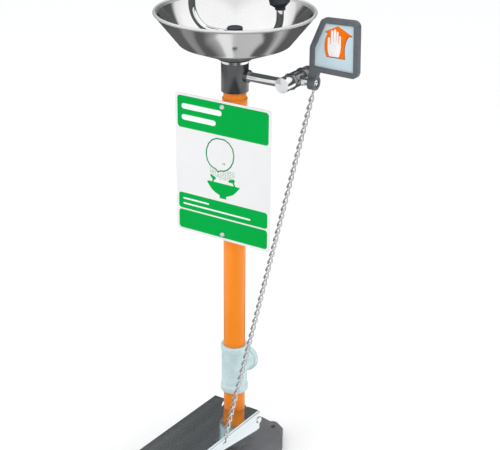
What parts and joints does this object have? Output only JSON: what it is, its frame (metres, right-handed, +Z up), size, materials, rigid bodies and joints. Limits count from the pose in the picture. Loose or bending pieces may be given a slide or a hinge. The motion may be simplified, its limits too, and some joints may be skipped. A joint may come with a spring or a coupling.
{
  "type": "pedestal eyewash station",
  "caption": "Floor-standing eyewash: round bowl, two capped spray heads, push-flag ball valve linked by chain to a foot treadle, and a sign on the stanchion.",
  "frame": {"origin": "on the floor at the stanchion's axis, the centre of the four anchor holes", "axes": "+Z up along the stanchion, -Y towards the user and along the treadle, +X to the user's right, where the valve is"},
  "size_m": [0.3806, 0.4685, 0.9595],
  "materials": {
    "cast_grey": "grey painted casting, satin",
    "safety_orange": "orange powder coat, satin",
    "galvanised": "pale blue-grey galvanised casting",
    "body_grey": "dark grey satin coat",
    "clamp_grey": "dark grey coat",
    "stainless": "satin stainless sheet",
    "chrome_plate": "bright plate",
    "zinc_steel": "zinc plated steel",
    "black_rubber": "moulded rubber",
    "graphite_plastic": "dark moulded plastic",
    "seat_white": "white fluoropolymer and acetal",
    "flag_grey": "grey moulded plastic",
    "flag_blue": "pale blue plate with a printed push symbol",
    "sign_white": "white rigid sheet with green printed blocks"
  },
  "bodies": {
    "stand": {"floor_flange": "cast_grey", "flange_set_screws": "zinc_steel", "lower_pipe": "safety_orange", "waste_tee": "galvanised", "upper_pipe": "safety_orange", "supply_drain_body": "body_grey", "drain_tailpiece": "chrome_plate", "ring_nut": "chrome_plate", "bowl_washer": "black_rubber", "bowl": "stainless", "bowl_gasket": "black_rubber", "drain_strainer": "chrome_plate", "supply_riser": "chrome_plate", "spray_hub": "chrome_plate", "hub_cap": "graphite_plastic", "left_spray_arm": "chrome_plate", "right_spray_arm": "chrome_plate", "left_spray_head": "graphite_plastic", "right_spray_head": "graphite_plastic", "flow_controls": "seat_white", "spray_faces": "graphite_plastic", "cover_pins": "zinc_steel", "supply_nipple": "chrome_plate", "supply_elbow": "chrome_plate", "valve_body": "chrome_plate", "valve_end_adapter": "chrome_plate", "valve_seats": "seat_white", "stem_packing": "seat_white", "packing_nut": "zinc_steel", "treadle_bracket": "cast_grey", "bracket_screws": "zinc_steel", "hinge_bolts": "zinc_steel", "hinge_nuts": "zinc_steel", "sign_panel": "sign_white", "sign_clamps": "clamp_grey", "sign_screws": "zinc_steel", "sign_nuts": "zinc_steel"},
    "treadle": {"treadle": "stainless"},
    "handle": {"push_flag": "flag_grey", "flag_panel": "flag_blue", "flag_nut": "zinc_steel", "chain_pin": "zinc_steel", "valve_stem": "zinc_steel", "valve_ball": "chrome_plate"},
    "chain": {"chain": "zinc_steel", "chain_ring": "zinc_steel", "chain_hook": "zinc_steel"},
    "left_cover": {"left_dust_cover": "graphite_plastic"},
    "right_cover": {"right_dust_cover": "graphite_plastic"}
  },
  "joints": [
    {"name": "treadle_press", "type": "hinge", "parent": "stand", "child": "treadle", "pos_m": [0, 0.002, 0.0783], "axis": [1, 0, 0], "range_deg": [0, 9.3]},
    {"name": "handle_push", "type": "hinge", "parent": "stand", "child": "handle", "pos_m": [0.14, 0.032, 0.7905], "axis": [-1, 0, 0], "range_deg": [0, 90.1]},
    {"name": "chain_pull", "type": "slide", "parent": "stand", "child": "chain", "axis": [0, 0, -1], "range_m": [0, 0.02]},
    {"name": "left_cover_flip", "type": "hinge", "parent": "stand", "child": "left_cover", "pos_m": [-0.11237, 0, 0.95032], "axis": [0, -1, 0], "range_deg": [0, 110]},
    {"name": "right_cover_flip", "type": "hinge", "parent": "stand", "child": "right_cover", "pos_m": [0.11237, 0, 0.95032], "axis": [0, 1, 0], "range_deg": [0, 110]}
  ],
  "couplings": [
    {"joint": "handle_push", "follows": "treadle_press", "ratio": 9.6774},
    {"joint": "chain_pull", "follows": "treadle_press", "m_per_rad": 0.12198}
  ]
}
